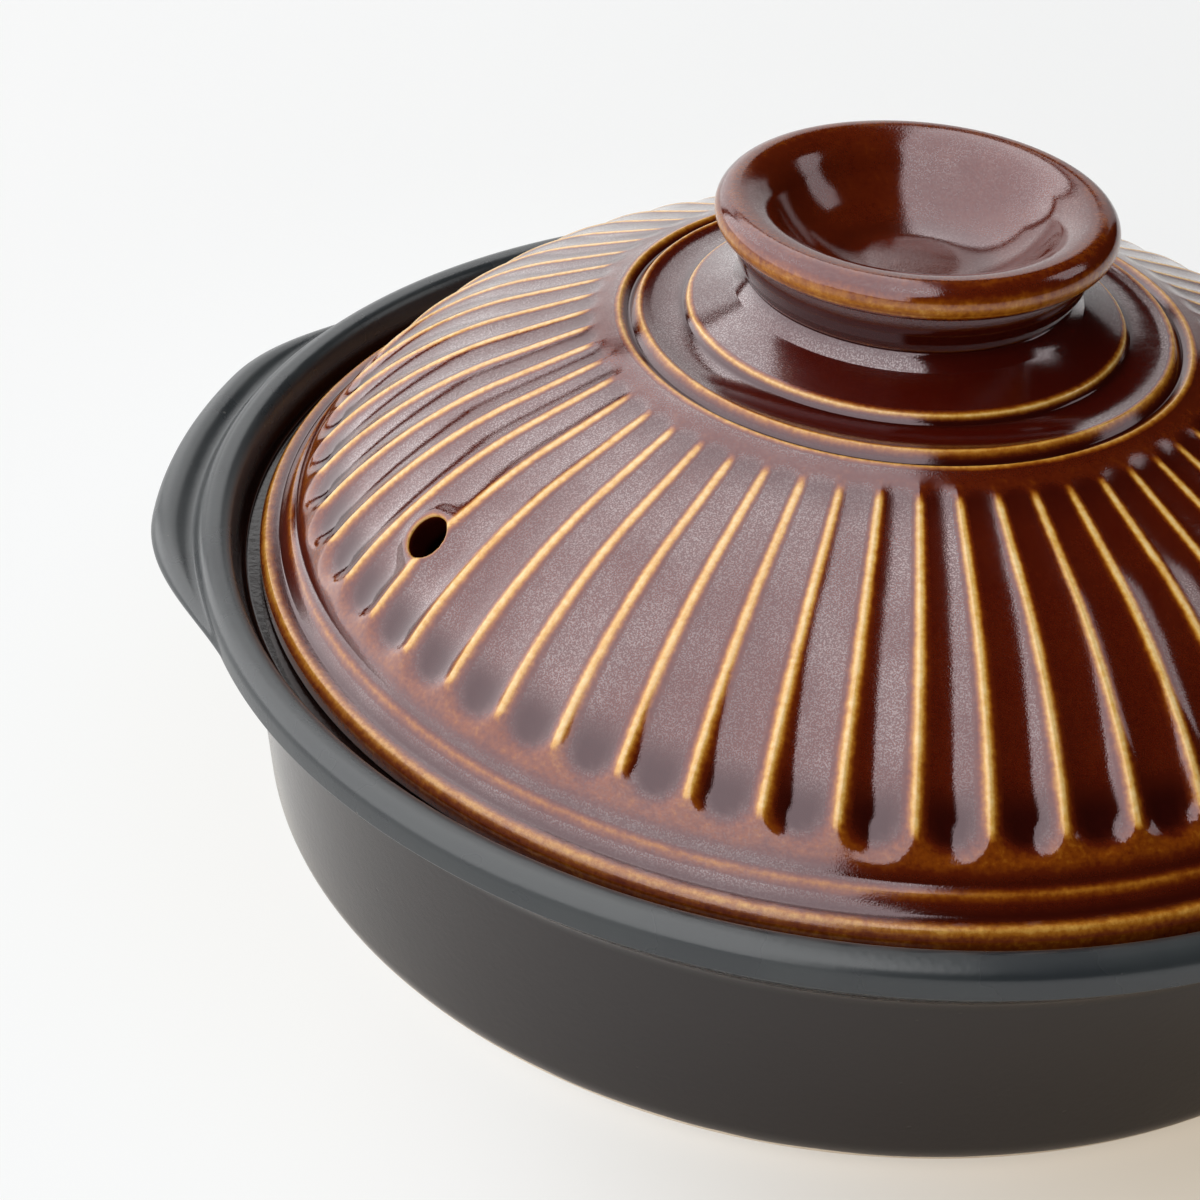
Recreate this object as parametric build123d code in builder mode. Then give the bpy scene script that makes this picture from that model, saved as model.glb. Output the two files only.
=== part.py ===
from build123d import *
from math import asin, cos, degrees, pi, radians, sin, tan
import os

# Lidded clay cooking pot: a low round pot with two lug handles, a ledge inside its rim, and a
# domed, fluted lid that rests on the ledge and lifts straight off by its cup-shaped knob.
# Millimetres, +Z up. The origin is the middle of the base on the surface that the pot stands on.
# The handles lie along X and the front is -Y. The pot, the lid and the knob are turned about Z.

# Rim of the pot, and the ledge inside it. Every other radius is measured in from the rim, and
# drops are measured down from the rim's top.
pot_height = 58.2
rim_radius = 132.0
rim_width = 5.9
rim_face_height = 5.8
rim_round = 2.85
rim_corner_round = 0.6
ledge_drop = 7.9
ledge_inset = 8.7
ledge_round = 1.2

# Wall, floor and foot of the pot
rim_overhang = 9.1
flare_height = 8.9
flare_round = 6.0
wall_taper = 3.7
wall_thickness = 9.0
floor_thickness = 8.0
inside_corner_radius = 26.0
foot_round = 8.0
foot_width = 19.2
foot_recess_depth = 1.5

# Lug handles: reaches are measured out from the rim's face. The lip's crest is a point on the
# lug; the valley, brow and belly are the poles that draw its two curves in and out from there.
handle_crest_reach = 5.8
handle_crest_drop = 1.0
handle_valley_reach = 1.0
handle_valley_drop = 6.6
handle_shelf_reach = 3.5
handle_shelf_drop = 1.3
handle_brow_reach = 12.3
handle_belly_reach = 11.4
handle_belly_drop = 11.2
handle_root_drop = 17.2
handle_bite = 3.5
handle_flat_angle = 11.0
handle_end_angle = 34.5
handle_sections = 13
tail_width = 2.0
tail_height = 2.4
tail_top_shares = ((0, 1), (1 / 3, 1), (2 / 3, 1), (1, 1))
tail_nose_shares = ((1, 1), (1, 2 / 3), (1, 1 / 3), (0, 1 / 4))
tail_root_shares = ((-1 / 3, 1 / 4), (-1 / 3, 1 / 2))

# Lid: rises are measured up from the ledge, and insets are measured in from the lid's edge
lid_edge_gap = 5.8
lid_edge_rise = 3.3
lid_edge_round = 1.0
lid_bearing_width = 6.6
lid_thickness = 7.0
shoulder_end_inset = 7.94
shoulder_end_rise = 10.53
shoulder_end_slope = 56.0
shoulder_curve_radius = 80.0
cone_slope = 22.0
ceiling_inset = 16.9
ceiling_round = 12.0

# Two raised rings round the edge of the lid, as crests and the hollows inside them
outer_ring_inset = 1.2
outer_ring_rise = 5.2
outer_hollow_inset = 3.7
outer_hollow_rise = 5.1
inner_ring_inset = 6.0
inner_ring_rise = 8.1
inner_hollow_depth = 0.7
ring_round = 0.9

# Steps round the knob: the boss, the channel outside it, and the narrow groove at the cone's top
boss_width = 10.1
boss_rise = 2.5
boss_sag = 0.8
boss_step_width = 0.9
boss_step_drop = 1.4
channel_width = 9.0
channel_rise = 1.0
channel_sag = 0.6
groove_width = 3.6
groove_depth = 1.1

# Flutes: scoops of one round tool, shallow at the top and deeper down the shoulder
flute_count = 56
flute_turn = -0.4
flute_tool_radius = 9.0
flute_top_inset = 7.6
flute_top_depth = 0.4
flute_middle_depth = 0.8
flute_end_depth = 1.6
flute_end_slope_short = 5.5

# Steam hole, square to the lid's surface
steam_hole_diameter = 8.4
steam_hole_inset = 22.9
steam_hole_angle = -143.2

# Knob: a cup on a narrow neck, which also serves as a foot when the lid is turned over.
# Rises are measured up from its flat seat on the lid.
knob_foot_radius = 30.2
knob_seat_rise = 9.1
knob_waist_inset = 0.4
knob_waist_rise = 3.7
knob_lip_radius = 36.6
knob_lip_round = 3.6
knob_height = 15.4
knob_neck_angle = -96.0
knob_brow_radius = 9.7
knob_bowl_slope = 55.0
knob_bowl_floor_rise = 2.6

# How far a cutting tool runs past the face that it cuts
overrun = 5.0

os.makedirs("parts", exist_ok=True)


def pick(corners, *places):
    """The corners nearest to these places, one for each."""
    return [corners.sort_by_distance(Vector(x, y, 0))[0] for x, y in places]


def save(piece, name):
    piece.part.label = name
    export_step(piece.part, f"parts/{name}.step")
    print(name, "volume %.0f mm3" % piece.part.volume)


# Pot body: one turned wall, with the foot rounded under, a flare up to a crisp corner under the
# rim, a rounded rim and the ledge inside it
rim_corner_height = pot_height - rim_face_height
rim_inner_radius = rim_radius - rim_width
ledge_height = pot_height - ledge_drop
ledge_outer_radius = rim_radius - ledge_inset
wall_top_radius = rim_radius - rim_overhang
wall_foot_radius = wall_top_radius - wall_taper
mouth_radius = wall_top_radius - wall_thickness
inside_foot_radius = wall_foot_radius - wall_thickness
recess_radius = wall_foot_radius - foot_width
flare_foot = (wall_top_radius, rim_corner_height - flare_height)

with BuildPart() as pot_body:
    with BuildSketch(Plane.XZ) as pot_section:
        with BuildLine():
            Polyline(
                (0, foot_recess_depth),
                (recess_radius, foot_recess_depth),
                (recess_radius + foot_recess_depth, 0),
                (wall_foot_radius, 0),
                flare_foot,
                (rim_radius, rim_corner_height),
                (rim_radius, pot_height),
                (rim_inner_radius, pot_height),
                (ledge_outer_radius, ledge_height),
                (mouth_radius, ledge_height),
                (inside_foot_radius, floor_thickness),
                (0, floor_thickness),
                close=True,
            )
        make_face()
        fillet(pick(pot_section.vertices(), (wall_foot_radius, 0)), foot_round)
        fillet(pick(pot_section.vertices(), flare_foot), flare_round)
        fillet(pick(pot_section.vertices(), (rim_radius, rim_corner_height)), rim_corner_round)
        rim_top = [(rim_radius, pot_height), (rim_inner_radius, pot_height)]
        fillet(pick(pot_section.vertices(), *rim_top), rim_round)
        ledge_edges = [(ledge_outer_radius, ledge_height), (mouth_radius, ledge_height)]
        fillet(pick(pot_section.vertices(), *ledge_edges), ledge_round)
        fillet(pick(pot_section.vertices(), (inside_foot_radius, floor_thickness)), inside_corner_radius)
    revolve(axis=Axis.Z)
save(pot_body, "pot_body")


# Handles: a lug is lofted through sections that stand on radial planes. It starts and ends inside
# the rim, swells to its full reach between, and has a hollow between the rim and its raised lip.
rim_middle_radius = rim_radius - rim_width / 2
crest_height = pot_height - handle_crest_drop
crest = (rim_radius + handle_crest_reach, crest_height)
root_height = pot_height - handle_root_drop
full_top = [
    (rim_middle_radius, crest_height),
    (rim_radius + handle_valley_reach, pot_height - handle_valley_drop),
    (rim_radius + handle_shelf_reach, pot_height - handle_shelf_drop),
    crest,
]
full_nose = [
    crest,
    (rim_radius + handle_brow_reach, crest_height),
    (rim_radius + handle_belly_reach, pot_height - handle_belly_drop),
    (wall_top_radius, root_height),
]
full_root = [(wall_top_radius - handle_bite, root_height), (rim_middle_radius, rim_corner_height)]


def blend(angle, full, tail_shares):
    """A side of the lug's section: its full outline, drawn in to the tail near the lug's ends."""
    fade = (abs(angle) - handle_flat_angle) / (handle_end_angle - handle_flat_angle)
    share = (1 + cos(pi * min(max(fade, 0), 1))) / 2
    tail = [(rim_middle_radius + tail_width * out, rim_corner_height + tail_height * up)
            for out, up in tail_shares]
    return [(xf * share + xt * (1 - share), yf * share + yt * (1 - share))
            for (xf, yf), (xt, yt) in zip(full, tail)]


def lug_section(angle):
    """The lug's section on the radial plane at this angle from its middle."""
    out = (cos(radians(angle)), sin(radians(angle)), 0)
    with BuildSketch(Plane(origin=(0, 0, 0), x_dir=out, z_dir=(out[1], -out[0], 0))) as section:
        with BuildLine():
            top = Bezier(*blend(angle, full_top, tail_top_shares))
            nose = Bezier(*blend(angle, full_nose, tail_nose_shares))
            Polyline(nose @ 1, *blend(angle, full_root, tail_root_shares), top @ 0)
        make_face()
    return section.sketch


section_turn = 2 * handle_end_angle / (handle_sections - 1)
with BuildPart() as lug:
    loft([lug_section(step * section_turn - handle_end_angle) for step in range(handle_sections)])
    add(pot_body.part, mode=Mode.SUBTRACT)

for name, turn in (("handle_right", 0), ("handle_left", 180)):
    with BuildPart() as handle:
        add(lug.part, rotation=(0, 0, turn))
    save(handle, name)


# Lid: its section runs from the knob's seat out over the boss, the channel and the groove, down
# the cone and the shoulder to the edge, and back up along the hollow underside
lid_edge_radius = rim_inner_radius - lid_edge_gap
shoulder_end_radius = lid_edge_radius - shoulder_end_inset
shoulder_middle_radius = shoulder_end_radius - shoulder_curve_radius * sin(radians(shoulder_end_slope))
shoulder_middle_height = (
    ledge_height + shoulder_end_rise - shoulder_curve_radius * cos(radians(shoulder_end_slope))
)
boss_radius = knob_foot_radius + boss_width
channel_radius = boss_radius + channel_width
cone_top_radius = channel_radius + groove_width


def on_shoulder(slope, depth):
    """A point of the lid's section where the shoulder has this slope, at this depth."""
    length = shoulder_curve_radius - depth
    return (shoulder_middle_radius + length * sin(radians(slope)),
            shoulder_middle_height + length * cos(radians(slope)))


def on_cone(radius, depth):
    """A point of the lid's section below the place of the cone that has this radius."""
    foot = on_shoulder(cone_slope, depth)
    run = on_shoulder(cone_slope, 0)[0] - radius
    return (foot[0] - run, foot[1] + run * tan(radians(cone_slope)))


cone_top = on_cone(cone_top_radius, 0)
boss_edge = (boss_radius, cone_top[1] + boss_rise)
knob_seat_height = cone_top[1] + knob_seat_rise
ceiling_corner = on_cone(cone_top_radius - ceiling_inset, lid_thickness)
shoulder_end = on_shoulder(shoulder_end_slope, 0)
shoulder_middle_slope = (cone_slope + shoulder_end_slope) / 2
inner_ring = (lid_edge_radius - inner_ring_inset, ledge_height + inner_ring_rise)
inner_hollow = ((inner_ring[0] + shoulder_end[0]) / 2 - inner_hollow_depth,
                (inner_ring[1] + shoulder_end[1]) / 2 - inner_hollow_depth)
outer_hollow = (lid_edge_radius - outer_hollow_inset, ledge_height + outer_hollow_rise)
outer_ring = (lid_edge_radius - outer_ring_inset, ledge_height + outer_ring_rise)
edge_top = (lid_edge_radius, ledge_height + lid_edge_rise)
edge_foot = (lid_edge_radius, ledge_height)

with BuildPart() as lid_blank:
    with BuildSketch(Plane.XZ) as lid_section:
        with BuildLine():
            seat = Line((0, knob_seat_height), (knob_foot_radius, knob_seat_height))
            boss = SagittaArc(seat @ 1, boss_edge, -boss_sag)
            step = Line(boss @ 1, (boss_radius + boss_step_width, boss_edge[1] - boss_step_drop))
            channel = SagittaArc(step @ 1, (channel_radius, cone_top[1] + channel_rise), -channel_sag)
            groove_floor = ((channel_radius + cone_top_radius) / 2, cone_top[1] - groove_depth)
            groove = Polyline(channel @ 1, groove_floor, cone_top)
            cone = Line(groove @ 1, on_shoulder(cone_slope, 0))
            shoulder = ThreePointArc(cone @ 1, on_shoulder(shoulder_middle_slope, 0), shoulder_end)
            edge = Polyline(
                shoulder @ 1, inner_hollow, inner_ring, outer_hollow, outer_ring, edge_top, edge_foot,
                (lid_edge_radius - lid_bearing_width, ledge_height),
                on_shoulder(shoulder_end_slope, lid_thickness),
            )
            hollow = ThreePointArc(
                edge @ 1, on_shoulder(shoulder_middle_slope, lid_thickness),
                on_shoulder(cone_slope, lid_thickness),
            )
            Polyline(hollow @ 1, ceiling_corner, (0, ceiling_corner[1]), seat @ 0)
        make_face()
        fillet(pick(lid_section.vertices(), inner_ring, outer_ring, edge_foot), ring_round)
        fillet(pick(lid_section.vertices(), edge_top), lid_edge_round)
        fillet(pick(lid_section.vertices(), ceiling_corner), ceiling_round)
    revolve(axis=Axis.Z)

# One flute's scoop: a round tool drawn along the cone and down the shoulder, with round ends
scoop_start = on_cone(cone_top_radius + flute_top_inset, flute_top_depth - flute_tool_radius)
scoop_turn = on_shoulder(cone_slope, flute_middle_depth - flute_tool_radius)
scoop_end = on_shoulder(
    shoulder_end_slope - flute_end_slope_short, flute_end_depth - flute_tool_radius
)

with BuildPart() as scoop:
    with BuildLine(Plane.XZ) as scoop_path:
        along = Line(scoop_start, scoop_turn)
        TangentArc(along @ 1, scoop_end, tangent=along % 1)
    with BuildSketch(Plane(origin=scoop_path.line @ 0, z_dir=scoop_path.line % 0)):
        Circle(flute_tool_radius)
    sweep()
    with Locations(scoop_path.line @ 0, scoop_path.line @ 1):
        Sphere(flute_tool_radius)

# The steam hole's drill, square to the shoulder
hole_slope = degrees(asin((lid_edge_radius - steam_hole_inset - shoulder_middle_radius)
                          / shoulder_curve_radius))
hole_middle = on_shoulder(hole_slope, lid_thickness / 2)

with BuildPart() as drill:
    with Locations(Location((hole_middle[0], 0, hole_middle[1]), (0, hole_slope, 0))):
        Cylinder(steam_hole_diameter / 2, lid_thickness + 2 * overrun)

with BuildPart() as lid_dome:
    add(lid_blank.part)
    with PolarLocations(0, flute_count, start_angle=flute_turn + 180 / flute_count):
        add(scoop.part, mode=Mode.SUBTRACT)
    add(drill.part, rotation=(0, 0, steam_hole_angle), mode=Mode.SUBTRACT)
save(lid_dome, "lid_dome")


# Knob: a turned cup with a narrow neck, a round lip that stands proud all round, and a bowl that
# falls from the lip in a brow and sweeps into a flat floor. It stands on the lid's flat seat.
knob_top_height = knob_seat_height + knob_height
waist = (knob_foot_radius - knob_waist_inset, knob_seat_height + knob_waist_rise)
lip_middle_radius = knob_lip_radius - knob_lip_round
bowl_edge = (lip_middle_radius - knob_brow_radius * sin(radians(knob_bowl_slope)),
             knob_top_height - knob_brow_radius * (1 - cos(radians(knob_bowl_slope))))
bowl_floor_height = knob_seat_height + knob_bowl_floor_rise
bowl_round = (bowl_edge[1] - bowl_floor_height) / (1 - cos(radians(knob_bowl_slope)))
bowl_floor_radius = bowl_edge[0] - bowl_round * sin(radians(knob_bowl_slope))

with BuildPart() as lid_knob:
    with BuildSketch(Plane.XZ):
        with BuildLine():
            lip = CenterArc((lip_middle_radius, knob_top_height - knob_lip_round), knob_lip_round,
                            knob_neck_angle, 90 - knob_neck_angle)
            brow = CenterArc((lip_middle_radius, knob_top_height - knob_brow_radius),
                             knob_brow_radius, 90, knob_bowl_slope)
            TangentArc(brow @ 1, (bowl_floor_radius, bowl_floor_height), tangent=brow % 1)
            foot = Line((0, knob_seat_height), (knob_foot_radius, knob_seat_height))
            ThreePointArc(foot @ 1, waist, lip @ 0)
            Polyline((bowl_floor_radius, bowl_floor_height), (0, bowl_floor_height), foot @ 0)
        make_face()
    revolve(axis=Axis.Z)
save(lid_knob, "lid_knob")
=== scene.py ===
from math import atan2, cos, hypot, pi, radians, sin, tan

import bpy
import numpy as np
from mathutils import Matrix, Vector


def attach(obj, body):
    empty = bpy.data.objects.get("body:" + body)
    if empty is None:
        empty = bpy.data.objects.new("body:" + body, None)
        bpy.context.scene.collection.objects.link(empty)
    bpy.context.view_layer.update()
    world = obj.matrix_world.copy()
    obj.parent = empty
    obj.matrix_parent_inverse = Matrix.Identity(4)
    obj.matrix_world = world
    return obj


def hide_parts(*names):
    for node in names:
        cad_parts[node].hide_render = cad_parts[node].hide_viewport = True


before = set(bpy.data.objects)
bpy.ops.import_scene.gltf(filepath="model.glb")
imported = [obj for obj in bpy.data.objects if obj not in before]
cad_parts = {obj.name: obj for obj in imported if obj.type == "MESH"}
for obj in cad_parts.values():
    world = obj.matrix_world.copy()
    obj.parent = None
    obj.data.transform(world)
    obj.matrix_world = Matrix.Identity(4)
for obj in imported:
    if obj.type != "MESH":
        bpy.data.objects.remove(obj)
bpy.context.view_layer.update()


# The pot: a low round bowl of coarse clay, thrown on a wheel, with a ledge inside its rim for the
# lid. It is dipped in a satin charcoal glaze down to the foot, which is left as bare cream clay,
# and the inside and the ledge have a glossy brown-black glaze.
rim_radius = 132.0
pot_height = 58.2
rim_round = 2.85
rim_corner_height = 52.4
wall_top = (122.9, 43.5)
foot_radius = 119.2
foot_recess = 1.5
floor_height = 8.0
ledge_height = 50.3
crisp_round = 0.6
pot_facets = 384

# The wall's outline, as (radius, height, rounding of that corner), from the middle of the floor
# out over the rim and back under the foot
pot_outline = [
    (0, floor_height, 0), (110.2, floor_height, 26.0),
    (113.9, ledge_height, 1.2), (123.3, ledge_height, 1.2),
    (126.1, pot_height, rim_round), (rim_radius, pot_height, rim_round),
    (rim_radius, rim_corner_height, crisp_round), (*wall_top, 6.0),
    (foot_radius, 0, 8.0), (101.5, 0, crisp_round),
    (100.0, foot_recess, crisp_round), (0, foot_recess, 0),
]


def rounded(corners, steps=8):
    """An outline's points once each corner has its rounding: corners are (x, y, rounding)."""
    points = []
    for i, (x, y, rounding) in enumerate(corners):
        here = np.array((x, y))
        if rounding == 0 or i in (0, len(corners) - 1):
            points.append(here)
            continue
        to_last = np.array(corners[i - 1][:2]) - here
        to_next = np.array(corners[i + 1][:2]) - here
        to_last, to_next = to_last / np.hypot(*to_last), to_next / np.hypot(*to_next)
        half = np.arccos(np.clip(to_last @ to_next, -1, 1)) / 2
        middle = here + (to_last + to_next) / np.hypot(*(to_last + to_next)) * rounding / sin(half)
        first = here + to_last * rounding / tan(half) - middle
        last = here + to_next * rounding / tan(half) - middle
        turn = atan2(first[0] * last[1] - first[1] * last[0], first @ last)
        for share in np.linspace(0, 1, steps + 1):
            c, s = cos(turn * share), sin(turn * share)
            points.append(middle + (c * first[0] - s * first[1], s * first[0] + c * first[1]))
    return np.array(points)


def spaced(points, longest):
    """The same outline with no step longer than this."""
    filled = [points[0]]
    for last, here in zip(points, points[1:]):
        count = max(1, int(np.ceil(np.hypot(*(here - last)[:2]) / longest - 1e-6)))
        filled += [last + (here - last) * k / count for k in range(1, count + 1)]
    return np.array(filled)


def all_round(count):
    """This many angles, evenly all the way round."""
    return np.arange(count) * 2 * pi / count


def turned(name, outline, angles, marks=None):
    """A piece turned about the upright axis from an outline in mm that starts and ends on it."""
    body = outline[1:-1]
    count = len(angles)
    ring = np.stack((np.cos(angles), np.sin(angles)), 1)
    rows = [np.column_stack((ring * x, np.full(count, y))) for x, y in body]
    points = np.concatenate(rows + [[(0, 0, outline[0][1])], [(0, 0, outline[-1][1])]]) / 1000
    step = np.arange(count)
    after = (step + 1) % count
    faces = []
    for row in range(len(body) - 1):
        a, b = row * count, (row + 1) * count
        faces += np.stack((a + step, b + step, b + after, a + after), 1).tolist()
    top, foot, last = len(points) - 2, len(points) - 1, (len(body) - 1) * count
    faces += np.stack((np.full(count, top), step, after), 1).tolist()
    faces += np.stack((last + after, last + step, np.full(count, foot)), 1).tolist()
    return shell(name, points, faces, marks)


def shell(name, points, faces, marks=None):
    """A smooth mesh object at the origin. Marks are numbers kept at its points for its finish."""
    mesh = bpy.data.meshes.new(name)
    mesh.from_pydata([tuple(p) for p in points], [], faces)
    for mark, values in (marks or {}).items():
        values = np.asarray(values, dtype=np.float32)
        kind, field = ("FLOAT", "value") if values.ndim == 1 else ("FLOAT_VECTOR", "vector")
        mesh.attributes.new(mark, kind, "POINT").data.foreach_set(field, values.ravel())
    mesh.shade_smooth()
    mesh.update()
    piece = bpy.data.objects.new(name, mesh)
    bpy.context.collection.objects.link(piece)
    return piece


def add(tree, kind, inputs=None, **settings):
    """A node with its settings. An input is a plain value, or another node's output to link."""
    made = tree.nodes.new(kind)
    for key, value in settings.items():
        setattr(made, key, value)
    for key, value in (inputs or {}).items():
        if isinstance(value, bpy.types.NodeSocket):
            tree.links.new(value, made.inputs[key])
        else:
            made.inputs[key].default_value = value
    return made


def maths(tree, operation, *values):
    """A Math node's answer."""
    return add(tree, "ShaderNodeMath", dict(enumerate(values)), operation=operation).outputs[0]


def times(tree, first, *others):
    """Values multiplied together."""
    for other in others:
        first = maths(tree, "MULTIPLY", first, other)
    return first


def plus(tree, first, *others):
    """Values added together."""
    for other in others:
        first = maths(tree, "ADD", first, other)
    return first


def off_axis(tree, x, y):
    """How far a place is from the upright axis."""
    return maths(tree, "SQRT", plus(tree, times(tree, x, x), times(tree, y, y)))


def ramp(tree, value, start, end, low=0.0, high=1.0, smooth=True):
    """A value between start and end, spread from low to high."""
    kind = "SMOOTHSTEP" if smooth else "LINEAR"
    return add(tree, "ShaderNodeMapRange", {0: value, 1: start, 2: end, 3: low, 4: high},
               interpolation_type=kind).outputs[0]


def mixed(tree, share, one, other):
    """A colour between two others."""
    return add(tree, "ShaderNodeMix", {0: share, 6: one, 7: other}, data_type="RGBA").outputs[2]


def noise(tree, place, scale, detail=2.0, roughness=0.5):
    """Soft random patches, about 1/scale metres across, from 0 to 1."""
    return add(tree, "ShaderNodeTexNoise", {"Vector": place, "Scale": scale, "Detail": detail,
                                           "Roughness": roughness}).outputs[0]


def finish_of(name):
    """A new material's tree, its shader, and its place on the piece."""
    material = bpy.data.materials.new(name)
    material.use_nodes = True
    tree = material.node_tree
    shader = tree.nodes["Principled BSDF"]
    place = add(tree, "ShaderNodeTexCoord").outputs["Object"]
    return material, tree, shader, place


def shade(red, green, blue):
    """A colour given as it looks on a screen, from 0 to 255, turned to light."""
    parts = [c / 255 for c in (red, green, blue)]
    return (*[c / 12.92 if c <= 0.04045 else ((c + 0.055) / 1.055) ** 2.4 for c in parts], 1)


# The pot's colours, and where its finishes meet, in metres from the axis and above the table
charcoal, worn_charcoal, pinhole = shade(43, 47, 50), shade(49, 53, 55), shade(130, 126, 120)
brown_black = shade(24, 12, 9)
cream_clay, pale_clay, clay_speck = shade(232, 214, 190), shade(240, 226, 206), shade(190, 160, 128)
glossy_within = (0.1266, 0.1261)
glossy_below = (0.0545, 0.0525)
bare_below = (0.0051, 0.0047)
satin_roughness = (0.25, 0.31)
gloss_roughness = 0.12
clay_roughness = 0.85


def charcoal_glaze():
    """Satin charcoal outside, glossy brown-black inside, bare cream clay at the foot."""
    material, tree, shader, place = finish_of("satin charcoal glaze and bare clay")
    parts = add(tree, "ShaderNodeSeparateXYZ", {0: place}).outputs
    away = off_axis(tree, parts[0], parts[1])
    cloud = noise(tree, place, 60, 3)
    fine = noise(tree, place, 900, 2)
    grain = noise(tree, place, 2600, 1)
    pits = add(tree, "ShaderNodeTexVoronoi", {"Vector": place, "Scale": 190}).outputs["Distance"]
    patch = ramp(tree, noise(tree, place, 45, 2), 0.5, 0.62)
    pin = times(tree, ramp(tree, pits, 0.045, 0.075, 1, 0), patch)
    glaze = mixed(tree, ramp(tree, cloud, 0.35, 0.7), charcoal, worn_charcoal)
    glaze = mixed(tree, times(tree, pin, 0.35), glaze, pinhole)
    wet = times(tree, ramp(tree, away, *glossy_within), ramp(tree, parts[2], *glossy_below))
    glaze = mixed(tree, wet, glaze, brown_black)
    clay = mixed(tree, fine, cream_clay, pale_clay)
    clay = mixed(tree, times(tree, ramp(tree, grain, 0.62, 0.72), 0.25), clay, clay_speck)
    line = plus(tree, parts[2], times(tree, cloud, 0.0012))
    bare = ramp(tree, line, *bare_below)
    colour = mixed(tree, bare, glaze, clay)
    tree.links.new(colour, shader.inputs["Base Color"])
    shader.inputs["IOR"].default_value = 1.6
    satin = ramp(tree, cloud, 0.3, 0.7, *satin_roughness)
    gloss = plus(tree, times(tree, maths(tree, "SUBTRACT", 1, wet), satin),
                 times(tree, wet, gloss_roughness))
    rough = maths(tree, "MAXIMUM", gloss, times(tree, bare, clay_roughness))
    tree.links.new(rough, shader.inputs["Roughness"])
    height = plus(tree, times(tree, fine, 0.00004), times(tree, cloud, 0.0001))
    height = maths(tree, "SUBTRACT", height, times(tree, pin, 0.00006))
    height = plus(tree, height, times(tree, grain, bare, 0.00006))
    bump = add(tree, "ShaderNodeBump", {"Height": height, "Distance": 1.0, "Strength": 0.6})
    tree.links.new(bump.outputs[0], shader.inputs["Normal"])
    return material


pot = turned("pot_wall", rounded(pot_outline, 10), all_round(pot_facets))
pot_glaze = charcoal_glaze()
pot.data.materials.append(pot_glaze)
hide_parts("pot_body")
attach(pot, "pot")


# The two handles: lugs of the same clay, pressed on under the rim and smoothed into it before the
# glaze. Each swells out of the rim, with a soft valley between the rim and its broad raised lip.
handle_flat_angle = 11.0
handle_end_angle = 34.5
handle_mesh_end = 36.5
handle_sections = 181
section_points = 61

# A section of the handle, as (radius, height), from the rim's top out over the lip and down to the
# wall; the same just inside the rim's skin; and the part of both that is hidden in the wall
lug_top = [(129.6, 58.1), (130.9, 57.8), (131.8, 56.9), (132.4, 55.9), (133.2, 55.3),
           (134.5, 55.5), (136.3, 56.2), (138.3, 56.3), (140.2, 55.3), (141.25, 53.3),
           (140.3, 50.7), (137.2, 47.7), (133.4, 45.0), (128.9, 42.4), (125.0, 40.3), (122.0, 38.6)]
rim_side = [(129.2, 57.9), (130.6, 57.5), (131.4, 56.5), (131.7, 55.6), (131.75, 55.0),
            (131.75, 54.4), (131.75, 53.8), (131.75, 53.2), (131.6, 52.6), (131.0, 52.0),
            (129.4, 50.5), (127.8, 48.9), (126.0, 47.3), (124.0, 45.3), (122.5, 43.0),
            (121.8, 38.6)]
lug_back = np.linspace((120.5, 40.0), (127.5, 55.5), 12)


def flowing(points, count):
    """Points evenly along a smooth line through these."""
    points = np.array(points, dtype=float)
    steps = np.arange(len(points))
    fine = np.linspace(0, len(points) - 1, count)
    padded = np.vstack((2 * points[0] - points[1], points, 2 * points[-1] - points[-2]))
    whole = np.minimum(fine.astype(int), len(points) - 2)
    t = (fine - steps[whole])[:, None]
    a, b, c, d = (padded[whole + k] for k in range(4))
    return b + t / 2 * (c - a + t * (2 * a - 5 * b + 4 * c - d + t * (3 * (b - c) + d - a)))


def lug(name, middle):
    """One handle, as sections on radial planes that sink into the rim at both ends."""
    full = np.vstack((flowing(lug_top, section_points), lug_back))
    sunk = np.vstack((flowing(rim_side, section_points), lug_back))
    sweep = np.linspace(-handle_mesh_end, handle_mesh_end, handle_sections)
    points = []
    for angle in sweep:
        fade = (abs(angle) - handle_flat_angle) / (handle_end_angle - handle_flat_angle)
        share = (1 + cos(pi * min(max(fade, 0), 1))) / 2
        section = full * share + sunk * (1 - share)
        turn = radians(middle + angle)
        points += [(x * cos(turn), x * sin(turn), y) for x, y in section]
    count = len(full)
    step = np.arange(count)
    after = (step + 1) % count
    faces = []
    for row in range(len(sweep) - 1):
        a, b = row * count, (row + 1) * count
        faces += np.stack((a + step, b + step, b + after, a + after), 1).tolist()
    last = (len(sweep) - 1) * count
    faces += [list(reversed(range(count))), [last + k for k in range(count)]]
    faces = [list(reversed(face)) for face in faces]
    return shell(name, np.array(points) / 1000, faces)


for name, middle in (("handle_right", 0), ("handle_left", 180)):
    handle = lug(name + "_lug", middle)
    handle.data.materials.append(pot_glaze)
    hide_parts(name)
    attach(handle, "pot")


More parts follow.
